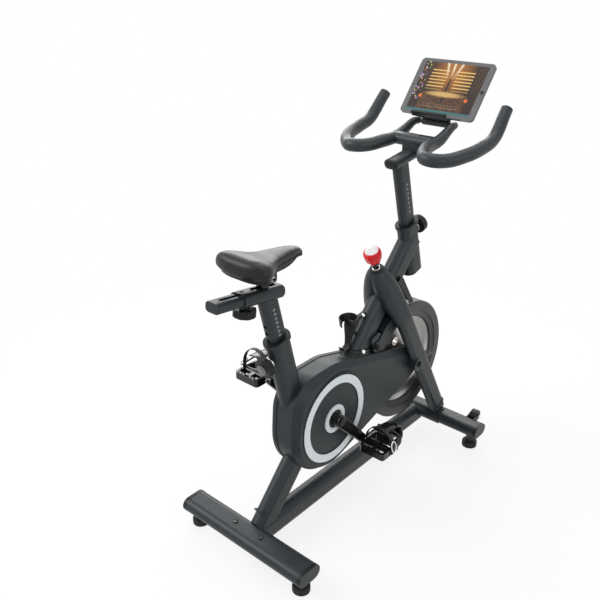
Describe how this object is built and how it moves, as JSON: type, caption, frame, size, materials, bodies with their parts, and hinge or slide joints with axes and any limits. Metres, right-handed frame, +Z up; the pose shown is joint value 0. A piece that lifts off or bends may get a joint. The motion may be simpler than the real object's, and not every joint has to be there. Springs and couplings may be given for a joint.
{
  "type": "exercise bike",
  "caption": "Indoor cycling bike with a flywheel under a fork, adjustable saddle and looped handlebar, toe-cage pedals, tension knob, bottle cage and tablet cradle.",
  "frame": {"origin": "centre of the bounding box's base, on the floor", "axes": "+X forward from saddle to handlebar, +Y to the rider's left, +Z up"},
  "size_m": [1.0178, 0.484, 1.2295],
  "materials": {
    "frame_paint": "satin charcoal powder coat",
    "guard_plastic": "fine matt charcoal moulding",
    "ring_grey": "satin pale silver",
    "black_plastic": "matt black",
    "gloss_black": "gloss black enamel",
    "red_plastic": "gloss red",
    "steel": "brushed",
    "chrome": "polished",
    "iron": "satin dark coat",
    "silver_disc": "satin spun",
    "rubber": "matt black rubber",
    "saddle_cover": "smooth matt black vinyl",
    "tablet_grey": "satin mid grey",
    "screen_glass": "gloss warm display",
    "alloy_black": "black anodised"
  },
  "bodies": {
    "frame": {"seat_tube": "frame_paint", "seat_bush": "black_plastic", "head_tube": "frame_paint", "head_bush": "black_plastic", "diagonal_tube": "frame_paint", "rod_guide": "chrome", "fork_crown": "frame_paint", "fork_leg_left": "frame_paint", "fork_leg_right": "frame_paint", "lower_beam": "frame_paint", "rear_strut": "frame_paint", "front_stabilizer": "frame_paint", "rear_stabilizer": "frame_paint", "guard_right": "guard_plastic", "guard_left": "guard_plastic", "guard_band": "guard_plastic", "guard_ring": "ring_grey", "frame_core": "frame_paint", "belt": "rubber", "bottle_cage": "black_plastic", "brake_shroud": "black_plastic", "flywheel_axle": "steel"},
    "crank": {"crank_left": "gloss_black", "crank_right": "gloss_black", "drive_pulley": "alloy_black"},
    "pedal_l": {"pedal_left": "gloss_black", "toe_cage_left": "black_plastic"},
    "pedal_r": {"pedal_right": "gloss_black", "toe_cage_right": "black_plastic"},
    "flywheel": {"flywheel_rim": "iron", "flywheel_disc": "silver_disc", "small_pulley": "steel"},
    "seat_mast": {"seat_post": "frame_paint", "slider_sleeve": "frame_paint"},
    "seat_plunger": {"seat_pin": "black_plastic"},
    "seat_slider": {"slider_bar": "frame_paint", "saddle_clamp": "steel"},
    "slider_clamp_knob": {"slider_knob": "black_plastic"},
    "saddle": {"saddle_rails": "steel", "saddle_shell": "black_plastic", "saddle_pad": "saddle_cover"},
    "head_mast": {"head_post": "frame_paint", "stem_bar": "frame_paint", "grip_left": "rubber", "grip_right": "rubber", "tablet_arms": "rubber"},
    "head_plunger": {"head_pin": "black_plastic"},
    "tension_rod": {"brake_rod": "steel"},
    "tension_dial": {"tension_knob": "red_plastic"},
    "magnet_arm": {"brake_arm": "frame_paint"},
    "tablet_cradle": {"cradle": "black_plastic"},
    "tablet_body": {"tablet": "tablet_grey", "tablet_screen": "screen_glass"},
    "roller_left": {"wheel_left": "rubber"},
    "roller_right": {"wheel_right": "rubber"},
    "leveller_front_left": {"foot_front_left": "rubber"},
    "leveller_front_right": {"foot_front_right": "rubber"},
    "leveller_rear_left": {"foot_rear_left": "rubber"},
    "leveller_rear_right": {"foot_rear_right": "rubber"}
  },
  "joints": [
    {"name": "flywheel_spin", "type": "hinge", "parent": "frame", "child": "flywheel", "pos_m": [0.281, 0, 0.33], "axis": [0, 1, 0], "continuous": true},
    {"name": "crank_turn", "type": "hinge", "parent": "frame", "child": "crank", "pos_m": [-0.12199, 0, 0.322], "axis": [0, 1, 0], "continuous": true},
    {"name": "pedal_right_turn", "type": "hinge", "parent": "crank", "child": "pedal_r", "pos_m": [-0.00519, -0.135, 0.19848], "axis": [0, 1, 0], "continuous": true},
    {"name": "pedal_left_turn", "type": "hinge", "parent": "crank", "child": "pedal_l", "pos_m": [-0.2388, 0.135, 0.44552], "axis": [0, 1, 0], "continuous": true},
    {"name": "seat_height", "type": "slide", "parent": "frame", "child": "seat_mast", "axis": [-0.2521, 0, 0.9677], "range_m": [-0.09, 0.06]},
    {"name": "seat_pin_pull", "type": "slide", "parent": "frame", "child": "seat_plunger", "axis": [-0.9677, 0, -0.2521], "range_m": [0, 0.008], "stiffness_N_per_m": 900, "springref_m": -0.003},
    {"name": "saddle_fore_aft", "type": "slide", "parent": "seat_mast", "child": "seat_slider", "axis": [0.9925, 0, -0.1219], "range_m": [-0.03, 0.03]},
    {"name": "slider_knob_turn", "type": "hinge", "parent": "seat_mast", "child": "slider_clamp_knob", "pos_m": [-0.40156, 0, 0.77807], "axis": [-0.1219, 0, -0.9925], "continuous": true},
    {"name": "saddle_tilt", "type": "hinge", "parent": "seat_slider", "child": "saddle", "pos_m": [-0.33851, 0, 0.81566], "axis": [0, 1, 0], "range_deg": [-8, 8]},
    {"name": "bar_height", "type": "slide", "parent": "frame", "child": "head_mast", "axis": [-0.2672, 0, 0.9636], "range_m": [-0.06, 0.06]},
    {"name": "head_pin_pull", "type": "slide", "parent": "frame", "child": "head_plunger", "axis": [0.9636, 0, 0.2672], "range_m": [0, 0.008], "stiffness_N_per_m": 900, "springref_m": -0.003},
    {"name": "brake_press", "type": "slide", "parent": "frame", "child": "tension_rod", "axis": [0.4039, 0, -0.9148], "range_m": [0, 0.006], "stiffness_N_per_m": 4000, "springref_m": -0.003},
    {"name": "tension_turn", "type": "hinge", "parent": "tension_rod", "child": "tension_dial", "pos_m": [0.13101, 0, 0.685], "axis": [-0.4039, 0, 0.9148], "continuous": true},
    {"name": "magnet_arm_swing", "type": "hinge", "parent": "frame", "child": "magnet_arm", "pos_m": [0.10002, 0, 0.45207], "axis": [0, 1, 0], "range_deg": [-0.2, 3.2]},
    {"name": "cradle_tilt", "type": "hinge", "parent": "head_mast", "child": "tablet_cradle", "pos_m": [0.39973, 0, 1.06518], "axis": [0, 1, 0], "range_deg": [-12, 12]},
    {"name": "tablet_lift", "type": "slide", "parent": "tablet_cradle", "child": "tablet_body", "axis": [0.6293, 0, 0.7771], "range_m": [0, 0.08]},
    {"name": "roller_left_turn", "type": "hinge", "parent": "frame", "child": "roller_left", "pos_m": [0.48201, 0.191, 0.087], "axis": [0, 1, 0], "continuous": true},
    {"name": "roller_right_turn", "type": "hinge", "parent": "frame", "child": "roller_right", "pos_m": [0.48201, -0.191, 0.087], "axis": [0, 1, 0], "continuous": true},
    {"name": "leveller_front_left_turn", "type": "hinge", "parent": "frame", "child": "leveller_front_left", "pos_m": [0.43001, 0.208, 0], "axis": [0, 0, 1], "continuous": true},
    {"name": "leveller_front_right_turn", "type": "hinge", "parent": "frame", "child": "leveller_front_right", "pos_m": [0.43001, -0.208, 0], "axis": [0, 0, 1], "continuous": true},
    {"name": "leveller_rear_left_turn", "type": "hinge", "parent": "frame", "child": "leveller_rear_left", "pos_m": [-0.42299, 0.195, 0], "axis": [0, 0, 1], "continuous": true},
    {"name": "leveller_rear_right_turn", "type": "hinge", "parent": "frame", "child": "leveller_rear_right", "pos_m": [-0.42299, -0.195, 0], "axis": [0, 0, 1], "continuous": true}
  ],
  "couplings": [
    {"joint": "crank_turn", "follows": "flywheel_spin", "ratio": 0.25961},
    {"joint": "magnet_arm_swing", "follows": "brake_press", "rad_per_m": 8.1667}
  ]
}
